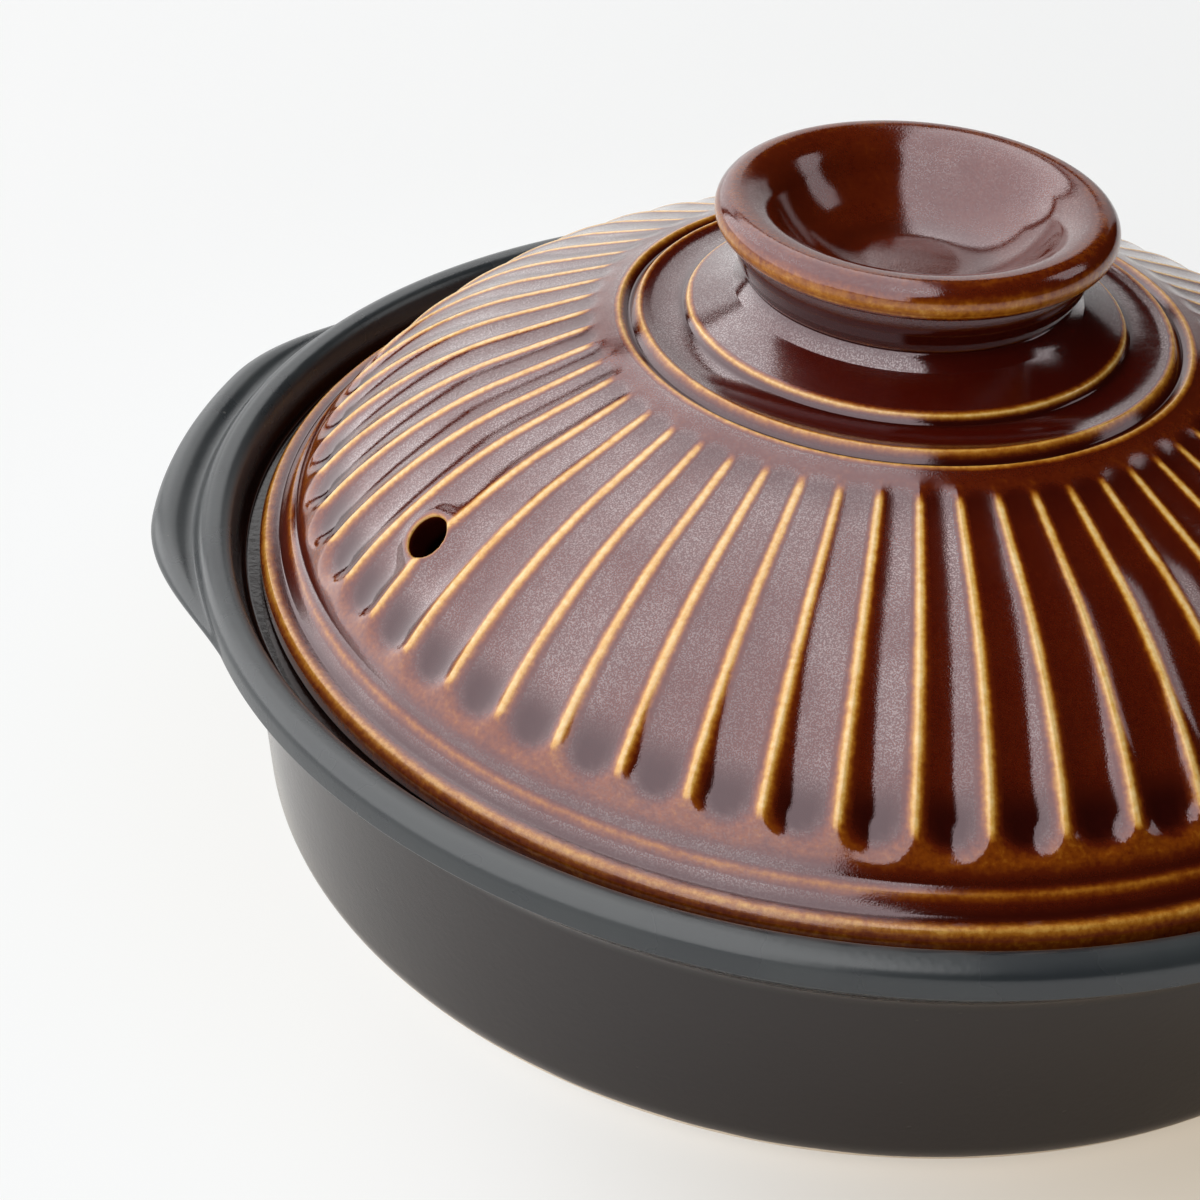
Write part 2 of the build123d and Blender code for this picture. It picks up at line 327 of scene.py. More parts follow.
# The lid: a dome of the same clay, thrown on the wheel and turned when leather-hard, with 56
# flutes carved down it. Its amber glaze runs thin over the ridges and the rings, where it is
# golden, and pools dark in the flutes and the grooves. The steam hole is drilled before the glaze.
lid_edge_radius = 120.3
shoulder_radius = 80.0
shoulder_middle = (46.03, 16.1)
cone_slope = 22.0
shoulder_end_slope = 56.0
lid_thickness = 7.0
under_boss_radius = 36.0
knob_foot_radius = 30.2
knob_seat_height = 108.7
boss_step = (32.3, 105.8)
boss_foot = (40.3, 102.1)
channel_inside = (41.2, 100.7)
channel_outside = (49.3, 100.6)
groove = (51.1, 98.5)
flute_count = 56
flute_turn = -0.4
flute_top_radius = 22.0
flute_foot_radius = 10.5
hole_angle = -143.2
hole_inset = 22.9
hole_radius = 4.2
hole_lip = 0.7
hole_rings = (1.6, 3.2, 5.0)
hole_smoothed = 4.5
hole_least_cut = 0.3
hole_rim_thin = 0.9
hole_rim_reach = 1.1
hole_rim_depth = 0.6


def on_shoulder(slope, depth=0.0):
    """The dome's section where the shoulder has this slope, at this depth in the clay."""
    length = shoulder_radius - depth
    return (shoulder_middle[0] + length * sin(radians(slope)),
            shoulder_middle[1] + length * cos(radians(slope)))


def on_cone(radius, depth=0.0):
    """The dome's section below this place of the cone."""
    foot = on_shoulder(cone_slope, depth)
    run = on_shoulder(cone_slope)[0] - radius
    return (foot[0] - run, foot[1] + run * tan(radians(cone_slope)))


def bowed(start, end, bulge, count):
    """Points between two others on a shallow bow, which bulges to the left of the way."""
    start, end = np.array(start), np.array(end)
    way = end - start
    left = np.array((-way[1], way[0])) / np.hypot(*way)
    shares = np.linspace(0, 1, count + 1)[1:-1]
    return [(*(start + way * t + left * bulge * 4 * t * (1 - t)), 0) for t in shares]


cone_top = on_cone(52.9)
cone_rows = (*np.arange(54.0, 66.0, 1.0), *np.arange(66.0, 75.5, 2.0))
shoulder_rows = (*np.arange(22.0, 44.0, 1.6), *np.arange(44.0, 55.9, 0.85))
underside_rows = np.arange(52.0, 21.9, -2.0)
boss_top = (knob_foot_radius, knob_seat_height)
under_boss = on_cone(under_boss_radius, lid_thickness)

# The lid's outline, as (radius, height, rounding): from the middle of the boss over its slope, the
# channel, the groove, the cone and the shoulder to the stepped edge, and back underneath
lid_outline = [(0, knob_seat_height, 0), (26.0, knob_seat_height, 0), (*boss_top, 0.6)]
lid_outline += bowed(boss_top, boss_step, -0.1, 4) + [(*boss_step, 0.8)]
lid_outline += bowed(boss_step, boss_foot, -0.2, 7) + [(*boss_foot, 0.5), (*channel_inside, 0.7)]
lid_outline += bowed(channel_inside, channel_outside, -0.6, 8)
lid_outline += [(*channel_outside, 0.5), (*groove, 0.5), (*cone_top, 0.6)]
lid_outline += [(*on_cone(r), 0) for r in cone_rows]
lid_outline += [(*on_shoulder(a), 0) for a in shoulder_rows]
lid_outline += [
    (*on_shoulder(shoulder_end_slope), 0), (113.1, 59.2, 2.0), (114.3, 58.4, 0.9),
    (116.6, 55.4, 0.8), (119.1, 55.5, 0.9), (lid_edge_radius, 53.6, 1.0),
    (lid_edge_radius, ledge_height, 0.9), (113.7, ledge_height, 0),
    (*on_shoulder(shoulder_end_slope, lid_thickness), 0),
]
lid_outline += [(*on_shoulder(a, lid_thickness), 0) for a in underside_rows]
lid_outline += [(*under_boss, 12.0), (0, under_boss[1], 0)]

# Where the glaze runs thin, as (radius, height, reach, how thin): the crests of the steps by the
# knob and of the two rings; and where it pools, as (radius, height, reach, how deep)
lid_crests = [(40.3, 102.0, 0.5, 0.9), (49.3, 100.5, 0.7, 0.75), (52.9, 99.5, 0.8, 0.75),
              (114.3, 58.1, 1.1, 0.55), (119.2, 55.2, 1.5, 0.68), (120.3, 52.5, 1.8, 0.5)]
lid_pools = [(41.3, 100.8, 0.9, 1.0), (51.1, 98.6, 1.1, 1.0), (113.0, 59.3, 0.8, 0.45),
             (116.6, 55.5, 1.3, 0.8), (29.5, 108.7, 1.8, 0.8)]

# How thin the glaze lies on the plain clay between those places, by mm down from the cone's top
plain_down = (-20, -1, 2, 5, 60, 67, 71.5, 73)
plain_thin = (0, 0, 0.16, 0.24, 0.36, 0.4, 0.36, 0.12)
underside_thin = 0.15

# The outline's longest steps outside and underneath, and how far from the steam hole's middle the
# rows and columns of points stop, to leave room for rings of points round it
longest_outside = 2.6
longest_inside = 9.0
window_reach = 7.6

# Angles of the lid's points: twelve to a flute, closest together at the ridges
pitch = 2 * pi / flute_count
across = np.array((0, 0.07, 0.15, 0.27, 0.44, 0.7))
across = np.concatenate((across, [1.0], 2 - across[:0:-1])) / 2
first_ridge = radians(flute_turn)
lid_angles = (first_ridge + (np.arange(flute_count)[:, None] + across[None, :]) * pitch).ravel()


def nearness(points, places):
    """How near each point of an outline is to these places, from 0 to each one's own strength."""
    return np.max([power * np.exp(-((points - (x, y)) ** 2).sum(1) / reach ** 2)
                   for x, y, reach, power in places], axis=0)


def eased(reach):
    """How much of a flute's depth is kept this far from the steam hole's middle."""
    share = np.clip((reach - hole_radius) / hole_smoothed, 0, 1)
    return hole_least_cut + (1 - hole_least_cut) * share * share * (3 - 2 * share)


def lid_blank():
    """The lid before carving: a turned shell, pierced by the steam hole."""
    body = rounded(lid_outline, 3)[1:-1]
    edge = int(np.argmax(body[:, 0]))
    body = np.concatenate((spaced(body[:edge], longest_outside),
                           spaced(body[edge:], longest_inside)))
    tangent = np.gradient(body, axis=0)
    tangent /= np.hypot(tangent[:, 0], tangent[:, 1])[:, None]
    along = np.concatenate(([0], np.cumsum(np.hypot(*np.diff(body, axis=0).T))))
    along -= along[np.argmin(np.hypot(*(body - cone_top).T))]
    edge = int(np.argmax(body[:, 0]))
    outside = np.arange(len(body)) < edge
    count = len(lid_angles)
    turns = np.stack((np.cos(lid_angles), np.sin(lid_angles)), 1)
    points = [(x * c, x * s, y) for x, y in body for c, s in turns]
    press = [(-ty * c, -ty * s, tx) for tx, ty in tangent for c, s in turns]
    land = np.where(outside, np.interp(along, plain_down, plain_thin), underside_thin)
    marks = {
        "ease": np.ones(len(body) * count),
        "rim": np.zeros(len(body) * count),
        "along": np.repeat(along / 1000, count),
        "carve": np.repeat(outside * 1.0, count),
        "land": np.repeat(np.maximum(land, nearness(body, lid_crests)), count),
        "deep": np.repeat(nearness(body, lid_pools) * outside, count),
    }

    # The hole's own middle and slope. A place by the hole is given by how far it is down the dome
    # and across it, and by its depth in the clay.
    hole_slope = np.arcsin((lid_edge_radius - hole_inset - shoulder_middle[0]) / shoulder_radius)
    hole_turn = radians(hole_angle)

    def by_hole(down, across, depth):
        length = shoulder_radius - depth
        slope = hole_slope + down / length
        x, y = shoulder_middle[0] + length * sin(slope), shoulder_middle[1] + length * cos(slope)
        turn = hole_turn + across / x
        return ((x * cos(turn), x * sin(turn), y),
                (sin(slope) * cos(turn), sin(slope) * sin(turn), cos(slope)),
                (slope - radians(cone_slope)) * shoulder_radius + cone_run)

    cone_run = float(np.hypot(*(np.array(on_shoulder(cone_slope)) - cone_top)))
    offset = (lid_angles - hole_turn + pi) % (2 * pi) - pi
    windows = []
    for depth, rows_here in ((0.0, outside), (lid_thickness, ~outside)):
        slopes = np.arctan2(body[:, 0] - shoulder_middle[0], body[:, 1] - shoulder_middle[1])
        down = (slopes - hole_slope) * (shoulder_radius - depth)
        on_it = np.abs(np.hypot(*(body - shoulder_middle).T) - shoulder_radius + depth) < 0.01
        rows = np.where(rows_here & on_it & (np.abs(down) < window_reach))[0].tolist()
        columns = np.where(np.abs(offset) < window_reach / (lid_edge_radius - hole_inset))[0]
        gap = int(np.argmax(np.diff(columns))) if columns[-1] - columns[0] >= len(columns) else -1
        columns = np.roll(columns, -gap - 1)
        rows = rows if depth == 0 else rows[::-1]
        loop = ([(rows[0], c) for c in columns[:-1]] + [(r, columns[-1]) for r in rows[:-1]]
                + [(rows[-1], c) for c in columns[:0:-1]] + [(r, columns[0]) for r in rows[:0:-1]])
        places = [(down[r], offset[c] * body[r][0]) for r, c in loop]
        windows.append((min(rows), max(rows), columns, [r * count + c for r, c in loop], places))

    # The cuts are shallower round the hole, where the clay was smoothed after drilling
    reach = np.hypot(((np.arctan2(body[:, 0] - shoulder_middle[0], body[:, 1] - shoulder_middle[1])
                       - hole_slope) * shoulder_radius)[:, None], offset[None, :] * body[:, :1])
    marks["ease"] = np.where(outside[:, None], eased(reach), 1.0).ravel()

    step = np.arange(count)
    after = (step + 1) % count
    faces = []
    for row in range(len(body) - 1):
        keep = np.ones(count, bool)
        for low, high, columns, *_ in windows:
            if low <= row < high:
                keep[columns[:-1]] = False
        a, b = row * count, (row + 1) * count
        faces += np.stack((a + step, b + step, b + after, a + after), 1)[keep].tolist()
    last = (len(body) - 1) * count
    for base, height, way in ((0, body[0][1], 1), (last, body[-1][1], -1)):
        points.append((0, 0, height))
        press.append((0, 0, 1))
        for mark in marks:
            marks[mark] = np.append(marks[mark], marks[mark][base])
        faces += [[len(points) - 1, *pair[::way]]
                  for pair in np.stack((base + step, base + after), 1)]

    # Rings of points from the outer window to the hole, over its soft lip and down its wall
    *_, ring, places = windows[0]
    lip = [(hole_radius + hole_lip * (1 - sin(a)), hole_lip * (1 - cos(a)))
           for a in np.linspace(0, pi / 2, 5)]
    wall = [(hole_radius, depth) for depth in (*hole_rings, lid_thickness)]
    stages = [(share, *lip[0]) for share in (0.25, 0.5, 0.75)] + [(1, *s) for s in lip + wall]
    for share, radius, depth in stages:
        made = []
        for down, sideways in places:
            reach = hypot(down, sideways)
            spread = share * radius / reach + 1 - share
            place, out, run = by_hole(down * spread, sideways * spread, depth)
            made.append(len(points))
            points.append(place)
            press.append(out)
            near = max(0.0, 1 - (reach * spread - hole_radius) / hole_rim_reach)
            for mark, value in (("ease", eased(reach * spread)), ("along", run / 1000),
                                ("carve", 1 - depth / lid_thickness), ("land", 0.3),
                                ("rim", hole_rim_thin * near * (depth < hole_rim_depth)),
                                ("deep", min(1.0, depth / 1.5))):
                marks[mark] = np.append(marks[mark], value)
        for k in range(len(ring)):
            n = (k + 1) % len(ring)
            faces.append([ring[k], ring[n], made[n], made[k]][::-1])
        ring = made

    # The wall's foot is joined to the inner window, whose points lie further apart
    foot_turn = [atan2(across, down) for down, across in places]
    *_, loop, inner = windows[1]
    loop_turn = [atan2(across, down) for down, across in inner]
    n, m = len(ring), len(loop)
    first = min(range(m), key=lambda k: abs((loop_turn[k] - foot_turn[0] + pi) % (2 * pi) - pi))
    i = j = 0
    while i < n or j < m:
        ahead = (foot_turn[(i + 1) % n] - foot_turn[0]) % (2 * pi) or 2 * pi
        ahead_in = (loop_turn[(first + j + 1) % m] - foot_turn[0]) % (2 * pi)
        here, there = ring[i % n], loop[(first + j) % m]
        turning = (foot_turn[1] - foot_turn[0] + pi) % (2 * pi) - pi > 0
        if not turning:
            ahead, ahead_in = 2 * pi - ahead if ahead < 2 * pi else 2 * pi, 2 * pi - ahead_in
        if j >= m or (i < n and ahead <= ahead_in + 1e-6):
            faces.append([here, ring[(i + 1) % n], there][::-1])
            i += 1
        else:
            faces.append([here, loop[(first + j + 1) % m], there][::-1])
            j += 1
    marks["press"] = np.array(press)
    return shell("lid_dome_fluted", np.array(points) / 1000, faces, marks)


# The carving tool's sizes in metres, and how thin the glaze is on a ridge: on its crest (metres to
# each side) and beside it (shares of a flute), fading out at its ends. It pools at the flutes'
# lower and upper ends (metres down the dome).
carving = {"Top radius": flute_top_radius / 1000, "Foot radius": flute_foot_radius / 1000,
           "Start": 0.008, "Turn": 0.0249, "End": 0.0647, "Start depth": 0.00036,
           "Turn depth": 0.00056, "End depth": 0.0018, "Softness": 0.0003}
crest_reach = (0.0002, 0.0013)
flank_reach = (0.03, 0.25)
ridge_thin = 0.46
ridge_fades_in = (0.003, 0.009)
ridge_fades_out = (0.0005, 0.005)
foot_pool = (0.0565, 0.064)
head_pool = (0.006, 0.015)


def flute_carver():
    """The Geometry Nodes tree that carves the flutes and notes how thick the glaze will lie."""
    tree = bpy.data.node_groups.new("carved flutes", "GeometryNodeTree")
    face = tree.interface
    face.new_socket("Geometry", in_out="INPUT", socket_type="NodeSocketGeometry")
    for name, value in {"Flute count": flute_count, "First ridge": first_ridge, **carving}.items():
        face.new_socket(name, in_out="INPUT", socket_type="NodeSocketFloat").default_value = value
    face.new_socket("Glaze", in_out="INPUT", socket_type="NodeSocketMaterial")
    face.new_socket("Geometry", in_out="OUTPUT", socket_type="NodeSocketGeometry")
    given = add(tree, "NodeGroupInput").outputs

    def mark(name, kind="FLOAT"):
        return add(tree, "GeometryNodeInputNamedAttribute", {"Name": name},
                   data_type=kind).outputs[0]

    def spread(value, start, end, low, high):
        return add(tree, "ShaderNodeMapRange",
                   {0: value, 1: start, 2: end, 3: low, 4: high}).outputs[0]

    # Where a point lies in its flute: down it, across it, and past its ends
    along = mark("along")
    here = add(tree, "GeometryNodeInputPosition").outputs[0]
    place = add(tree, "ShaderNodeSeparateXYZ", {0: here})
    x, y = place.outputs[0], place.outputs[1]
    away = off_axis(tree, x, y)
    pitch_here = maths(tree, "DIVIDE", 2 * pi, given["Flute count"])
    turn = maths(tree, "SUBTRACT", maths(tree, "ARCTAN2", y, x), given["First ridge"])
    turn = maths(tree, "SUBTRACT", maths(tree, "DIVIDE", turn, pitch_here), 0.5)
    off = maths(tree, "SUBTRACT", turn, maths(tree, "ROUND", turn))
    sideways = times(tree, away, maths(tree, "SINE", times(tree, off, pitch_here)))
    beyond = maths(tree, "MAXIMUM", maths(tree, "SUBTRACT", given["Start"], along),
                   maths(tree, "SUBTRACT", along, given["End"]))
    beyond = maths(tree, "MAXIMUM", beyond, 0.0)

    # The cut: a round tool at the flute's depth there, with its edges softened by a wet sponge
    upper = spread(along, given["Start"], given["Turn"], given["Start depth"], given["Turn depth"])
    extra = maths(tree, "SUBTRACT", given["End depth"], given["Turn depth"])
    lower = spread(along, given["Turn"], given["End"], 0.0, extra)
    depth = plus(tree, upper, lower)
    reach = plus(tree, times(tree, sideways, sideways), times(tree, beyond, beyond))
    tool = ramp(tree, along, given["Turn"], given["End"], given["Top radius"], given["Foot radius"])
    arc = maths(tree, "SUBTRACT", times(tree, tool, tool), reach)
    arc = maths(tree, "SQRT", maths(tree, "MAXIMUM", arc, 0.0))
    cut = plus(tree, maths(tree, "SUBTRACT", depth, tool), arc)
    cut = maths(tree, "SMOOTH_MAX", cut, 0.0, given["Softness"])
    cut = times(tree, cut, mark("carve"))
    back = times(tree, cut, mark("ease"), -1.0)
    inward = add(tree, "ShaderNodeVectorMath", {0: mark("press", "FLOAT_VECTOR"), "Scale": back},
                 operation="SCALE").outputs[0]

    # The glaze: thin on the ridges between flutes, thick in them, and thickest at their ends
    share = maths(tree, "DIVIDE", cut, depth)
    edge = maths(tree, "SUBTRACT", 0.5, maths(tree, "ABSOLUTE", off))
    apart = times(tree, edge, pitch_here, away)
    crest = times(tree, ramp(tree, apart, *crest_reach, 1.0, 0.0), ridge_thin)
    flank = times(tree, ramp(tree, edge, *flank_reach, 1.0, 0.0), ridge_thin)
    zone = times(tree, ramp(tree, along, *ridge_fades_in),
                 ramp(tree, beyond, *ridge_fades_out, 1.0, 0.0))
    ridge = times(tree, plus(tree, crest, flank), zone, ramp(tree, mark("carve"), 0.5, 0.9))
    plain = times(tree, mark("land"), ramp(tree, share, 0.02, 0.7, 1.0, 0.3))
    thin = maths(tree, "MAXIMUM", maths(tree, "MAXIMUM", ridge, plain), mark("rim"))
    foot_end = times(tree, ramp(tree, along, *foot_pool), ramp(tree, share, 0.4, 0.8))
    head_end = times(tree, ramp(tree, along, *head_pool, 0.5, 0.0), ramp(tree, share, 0.3, 0.8))
    pooled = maths(tree, "MAXIMUM", maths(tree, "MAXIMUM", foot_end, head_end), mark("deep"))
    carved = given["Geometry"]
    for name, value in (("thin", thin), ("pool", pooled)):
        carved = add(tree, "GeometryNodeStoreNamedAttribute",
                     {"Geometry": carved, "Name": name, "Value": value}).outputs[0]
    carved = add(tree, "GeometryNodeSetPosition", {"Geometry": carved, "Offset": inward}).outputs[0]
    carved = add(tree, "GeometryNodeRealizeInstances", {"Geometry": carved}).outputs[0]
    carved = add(tree, "GeometryNodeSetMaterial", {"Geometry": carved, "Material": given["Glaze"]})
    add(tree, "NodeGroupOutput", {0: carved.outputs[0]})
    return tree


def made_plain(piece, tree, settings):
    """The piece as its Geometry Nodes make it, as a plain mesh with no modifier left on it."""
    modifier = piece.modifiers.new("nodes", "NODES")
    modifier.node_group = tree
    for item in tree.interface.items_tree:
        if item.in_out == "INPUT" and item.name in settings:
            modifier[item.identifier] = settings[item.name]
    bpy.context.view_layer.update()
    evaluated = piece.evaluated_get(bpy.context.evaluated_depsgraph_get())
    mesh = bpy.data.meshes.new_from_object(evaluated)
    piece.modifiers.clear()
    piece.data = mesh
    mesh.shade_smooth()
    return piece


# The glaze's colours by how thin it lies, from thick to thin, and where it has pooled
amber_steps = ((0.0, (68, 12, 4)), (0.22, (90, 29, 7)), (0.4, (126, 60, 9)), (0.6, (172, 108, 28)),
               (0.82, (222, 170, 80)), (1.0, (240, 208, 146)))
pooled_amber = shade(44, 9, 5)
amber_tint = (1.0, 0.8, 0.86, 1)
amber_roughness = (0.03, 0.06)
thin_roughness = 0.14
crystal_haze = 0.36
crystal_sparkle = 0.95
crystal_roughness = 0.13


def amber_glaze():
    """Glossy amber glaze: golden where it is thin, red-brown to black where it lies thick, and
    clouded with fine mauve crystals between."""
    material, tree, shader, place = finish_of("amber glaze")
    thin = add(tree, "ShaderNodeAttribute", attribute_name="thin").outputs["Fac"]
    pool = add(tree, "ShaderNodeAttribute", attribute_name="pool").outputs["Fac"]
    patches = noise(tree, place, 160, 3)
    mottle = noise(tree, place, 950, 3, 0.6)
    speck = noise(tree, place, 3600, 1)
    lift = plus(tree, times(tree, maths(tree, "SUBTRACT", patches, 0.5), 0.3),
                times(tree, maths(tree, "SUBTRACT", mottle, 0.5), 0.45))
    level = plus(tree, thin, times(tree, lift, ramp(tree, thin, 0.0, 0.4, 0.3, 1.0)))
    colours = add(tree, "ShaderNodeValToRGB", {0: level})
    steps = colours.color_ramp.elements
    for position, colour in amber_steps[1:-1]:
        steps.new(position)
    for step, (position, colour) in zip(steps, amber_steps):
        step.position, step.color = position, shade(*colour)
    colour = mixed(tree, pool, colours.outputs[0], pooled_amber)
    tree.links.new(colour, shader.inputs["Base Color"])
    shader.inputs["IOR"].default_value = 1.65
    shader.inputs["Specular Tint"].default_value = amber_tint
    rough = plus(tree, ramp(tree, patches, 0.3, 0.7, *amber_roughness),
                 ramp(tree, thin, 0.3, 0.6, 0.0, thin_roughness))
    tree.links.new(rough, shader.inputs["Roughness"])

    # Crystals: grains that spread the light a little in the thick glaze, but not in the pools
    drift = ramp(tree, noise(tree, place, 55, 2), 0.35, 0.65, 0.5, 1.0)
    grains = plus(tree, crystal_haze, ramp(tree, speck, 0.46, 0.64, 0.0, crystal_sparkle))
    cloud = times(tree, grains, drift, ramp(tree, thin, 0.07, 0.24, 1.0, 0.25))
    cloud = times(tree, cloud, maths(tree, "SUBTRACT", 1.0, pool))
    tree.links.new(cloud, shader.inputs["Coat Weight"])
    shader.inputs["Coat Roughness"].default_value = crystal_roughness
    shader.inputs["Coat IOR"].default_value = 1.8
    height = plus(tree, times(tree, patches, 0.00003), times(tree, speck, 0.000011))
    bump = add(tree, "ShaderNodeBump", {"Height": height, "Distance": 1.0, "Strength": 1.0})
    tree.links.new(bump.outputs[0], shader.inputs["Normal"])
    tree.links.new(bump.outputs[0], shader.inputs["Coat Normal"])
    return material


lid_glaze = amber_glaze()
lid = made_plain(lid_blank(), flute_carver(),
                 {"Flute count": float(flute_count), "Glaze": lid_glaze})
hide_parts("lid_dome")
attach(lid, "lid")


# The knob: a small thrown cup on a narrow neck, luted to the lid and glazed with it. The glaze is
# thin at the lip, where it is amber, and thick in the bowl and round the neck.
bowl_floor = (8.4, 111.3)
bowl_middle = (8.42, 131.6)
bowl_round = 20.3
flare_middle = (33.0, 114.4)
flare_round = 9.7
lip_middle = (33.0, 120.5)
lip_round = 3.6
neck_top = (32.6, 116.9)
neck_foot_height = 108.75
knob_facets = 288


def arc(middle, reach, angles):
    """Points of an outline on an arc, by their angles in degrees from straight up, outwards."""
    return [(middle[0] + reach * sin(a), middle[1] + reach * cos(a), 0) for a in np.radians(angles)]


knob_outline = [(0, bowl_floor[1], 0), (*bowl_floor, 0)]
knob_outline += arc(bowl_middle, bowl_round, np.arange(176, 124, -3))
knob_outline += arc(flare_middle, flare_round, np.arange(-51, -1, 4))
knob_outline += arc(lip_middle, lip_round, np.arange(0, 187, 6))
knob_outline += bowed(neck_top, (knob_foot_radius, neck_foot_height), 0.9, 8)
knob_outline += [(knob_foot_radius, neck_foot_height, 0.3), (0, neck_foot_height, 0)]

# Where the knob's glaze runs thin and where it pools, given as for the lid
knob_crests = [(36.2, 118.7, 0.7, 0.6), (36.7, 120.1, 2.7, 0.58), (32.6, 116.9, 0.4, 0.75),
               (30.2, 109.3, 0.6, 0.6), (33.0, 124.1, 3.2, 0.3)]
knob_pools = [(31.5, 112.5, 4.5, 0.95), (13.0, 111.6, 3.0, 0.4)]
knob_thin = 0.17

knob_rows = spaced(rounded(knob_outline, 10), 0.8)
knob_body = knob_rows[1:-1]
knob_marks = {}
for mark, values in (("thin", np.maximum(knob_thin, nearness(knob_body, knob_crests))),
                     ("pool", nearness(knob_body, knob_pools))):
    knob_marks[mark] = np.concatenate((np.repeat(values, knob_facets), values[[0, -1]]))
knob = turned("lid_knob_cup", knob_rows, all_round(knob_facets), knob_marks)
knob.data.materials.append(lid_glaze)
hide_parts("lid_knob")
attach(knob, "lid")


# The studio: a white sweep of floor, one very large softbox that leans over from the left, and
# the camera, a little above and in front of the pot, turned to the left.
floor_tone = (0.9, 0.9, 0.9)
floor_glow = (0.955, 0.965, 0.965)
# Painted shade: the paper's colour and glow are darkened and tinted beige round the pot's foot,
# most on the right
painted_beige_shade = (0.82, 0.7, 0.55, 1)
floor_shine = 0.55
# Painted light: how much more the paper glows beside the pot's foot on the left, over the pot's
# shadow
painted_light_by_foot = 0.42


def white_paper():
    """Matt white paper that glows to the camera, and in the glaze's mirror images on its left half,
    so that its shadows stay faint.
    Painted light makes it glow more beside the pot's foot on the left, over the pot's shadow there,
    and painted shade makes it darker and beige round the foot, most on the right.
    """
    material, tree, shader, place = finish_of("white paper sweep")
    parts = add(tree, "ShaderNodeSeparateXYZ", {0: place}).outputs
    away = off_axis(tree, parts[0], parts[1])
    fibre = ramp(tree, noise(tree, place, 3, 2), 0.3, 0.7, 0.985, 1.0)
    # Painted shade round the foot, most on the right, in both the paper's colour and its glow
    painted_shade_share = times(tree, ramp(tree, away, 0.118, 0.2, 1.0, 0.0),
                 ramp(tree, parts[0], -0.06, 0.1, 0.12, 1.0))
    painted_shade_tint = mixed(tree, painted_shade_share, (1, 1, 1, 1), painted_beige_shade)
    tone, light = (add(tree, "ShaderNodeVectorMath", {0: painted_shade_tint, 1: level},
                       operation="MULTIPLY").outputs[0] for level in (floor_tone, floor_glow))
    tone = mixed(tree, fibre, (0, 0, 0, 1), tone)
    tree.links.new(tone, shader.inputs["Base Color"])
    shader.inputs["Roughness"].default_value = 0.6
    shader.inputs["Specular IOR Level"].default_value = 0.2
    glow = add(tree, "ShaderNodeEmission", {"Color": light, "Strength": 1.0})
    ray = add(tree, "ShaderNodeLightPath").outputs
    # The paper's glow is also seen in the glaze's mirror images, on its left half only
    mirrored = times(tree, ray["Is Glossy Ray"], ramp(tree, parts[0], -0.25, 0.0, 1.0, 0.0))
    seen = maths(tree, "MAXIMUM", ray["Is Camera Ray"], mirrored)
    # Painted light: more glow near the foot on the left, which fills in the pot's shadow there
    beside = times(tree, ramp(tree, away, 0.13, 0.32, painted_light_by_foot, 0.0),
                   ramp(tree, parts[0], -0.1, 0.02, 1.0, 0.0))
    share = times(tree, seen, plus(tree, beside, floor_shine))
    lit = add(tree, "ShaderNodeMixShader", {0: share, 1: shader.outputs[0], 2: glow.outputs[0]})
    tree.links.new(lit.outputs[0], tree.nodes["Material Output"].inputs["Surface"])
    return material


floor_mesh = bpy.data.meshes.new("floor")
floor_mesh.from_pydata([(-8, -8, 0), (8, -8, 0), (8, 8, 0), (-8, 8, 0)], [], [(0, 1, 2, 3)])
floor = bpy.data.objects.new("floor", floor_mesh)
bpy.context.collection.objects.link(floor)
floor_mesh.materials.append(white_paper())


def lamp_panel(name, corners, strength, right_strength=None):
    """A flat panel of even white light. One that reaches to the right dims towards that side."""
    right_strength = strength if right_strength is None else right_strength
    material = bpy.data.materials.new(name)
    material.use_nodes = True
    tree = material.node_tree
    tree.nodes.clear()
    place = add(tree, "ShaderNodeTexCoord").outputs["Object"]
    parts = add(tree, "ShaderNodeSeparateXYZ", {0: place}).outputs
    side = maths(tree, "DIVIDE", parts[0], parts[1])
    level = ramp(tree, side, -0.6, 0.5, strength, right_strength)
    mirrored = add(tree, "ShaderNodeLightPath").outputs["Is Glossy Ray"]
    level = times(tree, level, ramp(tree, mirrored, 0, 1, lamp_share, 1.0, smooth=False))
    glow = add(tree, "ShaderNodeEmission", {"Color": (1, 1, 1, 1), "Strength": level})
    add(tree, "ShaderNodeOutputMaterial", {0: glow.outputs[0]})
    mesh = bpy.data.meshes.new(name)
    mesh.from_pydata(corners, [], [list(range(len(corners)))])
    mesh.materials.append(material)
    panel = bpy.data.objects.new(name, mesh)
    panel.visible_camera = False
    bpy.context.collection.objects.link(panel)


def overhead(*places):
    """Corners of a panel overhead, given as (right, back) shares of its height."""
    return [(x * lamp_height, y * lamp_height, lamp_height) for x, y in places]


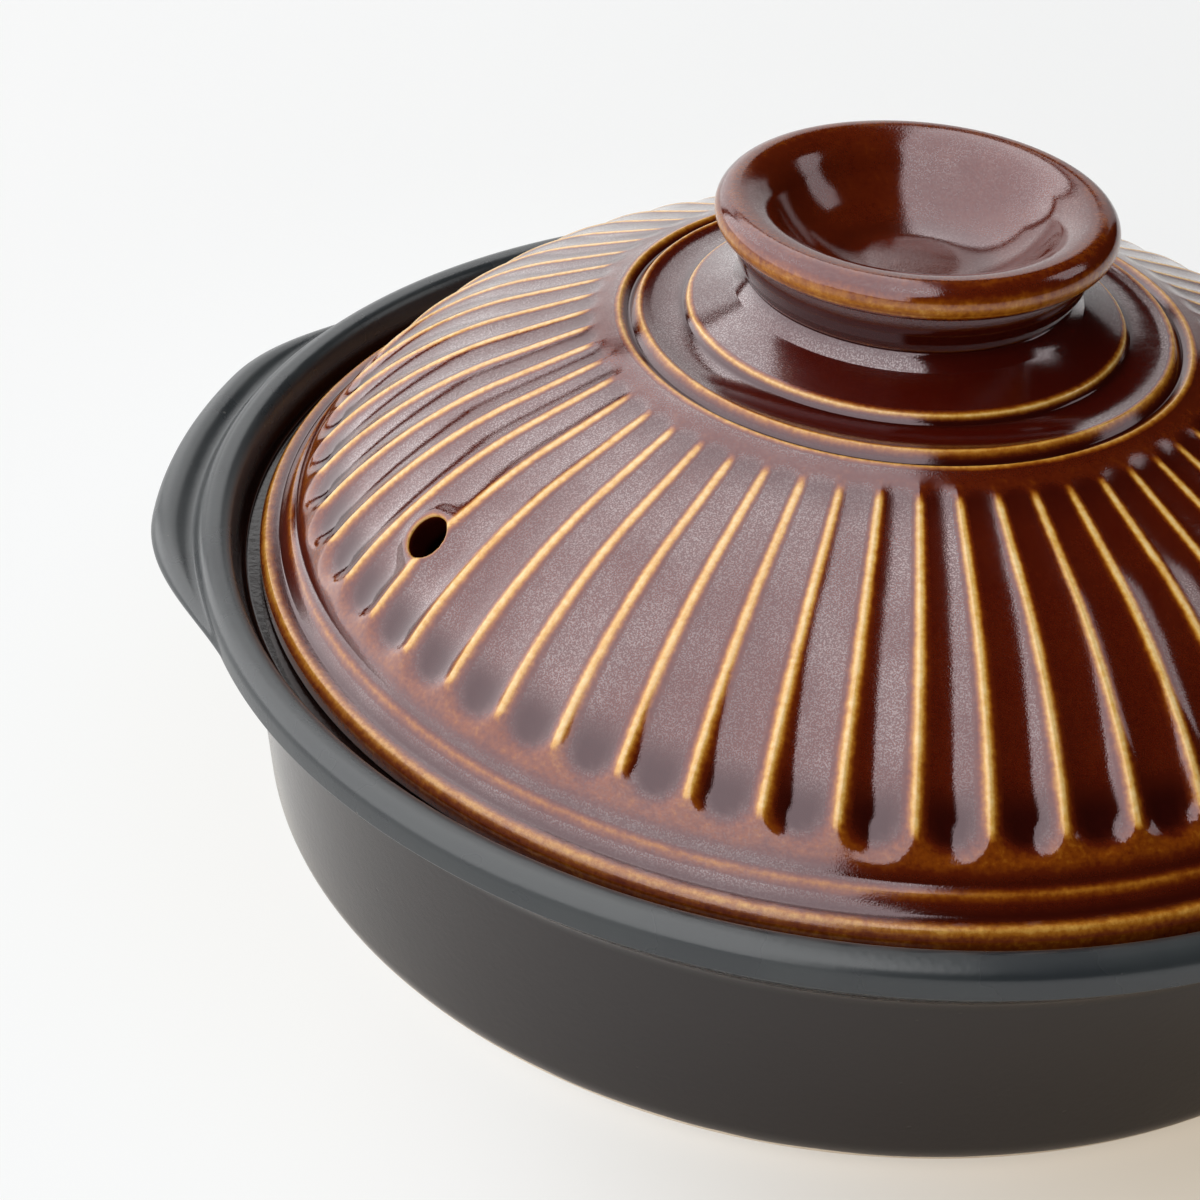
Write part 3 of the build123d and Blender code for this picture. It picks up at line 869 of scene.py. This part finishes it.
# The lamps light matt clay at a share of what they show in the glaze, so that the mirror images
# can be bright while the colours render as they are written
lamp_height = 2.5
lamp_share = 0.62
softbox_light = 2.6
softbox_corners = ((0.05, -12), (0.05, -1.75), (0.32, -0.93), (0.2, -0.33), (0.09, 0.2),
                   (0.05, 0.55), (0, 1.2), (-1.35, 1.2), (-12, 10.1), (-12, -12))
wall_corners = ((-0.02, 1.38), (0, 2.0), (1.1, 2.4), (5.6, 12), (-11.6, 12), (-1.33, 1.38))
reflector_corners = ((0.7, 0.44), (0.81, 0.78), (2.2, 0.95), (2.2, 0.28), (0.94, 0.28))
side_corners = [(-7, -7, 0), (-7, 5.87, 0), (-7, 5.87, 0.8), (-7, -7, 0.8)]
wall_foot_corners = [(-7.2, 7.5, 0), (3.5, 7.5, 0), (3.5, 7.5, 1.5), (-7.2, 7.5, 1.5)]
lamp_panel("softbox", overhead(*softbox_corners), softbox_light)
lamp_panel("softbox's side", side_corners, softbox_light)
lamp_panel("white wall", overhead(*wall_corners), 1.6, 0.4)
lamp_panel("right reflector", overhead(*reflector_corners), 1.3)
lamp_panel("wall's foot", wall_foot_corners, 1.5, 0.4)

# The room beyond the lamps: dim to matt clay, nearly dark in the glaze, and white to the camera
world = bpy.data.worlds.new("studio")
bpy.context.scene.world = world
world.use_nodes = True
sky = world.node_tree
sky.nodes.clear()
ray = add(sky, "ShaderNodeLightPath").outputs
dark = add(sky, "ShaderNodeBackground", {0: (1, 0.9, 0.8, 1), 1: 0.004})
fill = add(sky, "ShaderNodeBackground", {0: (1, 0.96, 0.92, 1), 1: 0.14})
white = add(sky, "ShaderNodeBackground", {0: (0.93, 0.94, 0.95, 1), 1: 1.0})
fill = add(sky, "ShaderNodeMixShader",
           {0: ray["Is Glossy Ray"], 1: fill.outputs[0], 2: dark.outputs[0]})
both = add(sky, "ShaderNodeMixShader",
           {0: ray["Is Camera Ray"], 1: fill.outputs[0], 2: white.outputs[0]})
add(sky, "ShaderNodeOutputWorld", {0: both.outputs[0]})

# The camera's axes and place, worked out from the round edges in the photograph
camera_right = Vector((0.98673833, 0.15729133, 0.04008615))
camera_up = Vector((-0.12167322, 0.55328033, 0.82406098))
camera_back = Vector((0.10743876, -0.81800997, 0.56508105))
camera_place = (0, -0.413213, 0.313403)
camera_lens = 74.17
camera = bpy.data.cameras.new("camera")
camera.sensor_width = 36
camera.lens = camera_lens
camera_holder = bpy.data.objects.new("camera", camera)
turned_to = Matrix((camera_right, camera_up, camera_back)).transposed()
camera_holder.matrix_world = Matrix.Translation(camera_place) @ turned_to.to_4x4()
bpy.context.collection.objects.link(camera_holder)
bpy.context.scene.camera = camera_holder
bpy.context.scene.view_settings.view_transform = "Standard"
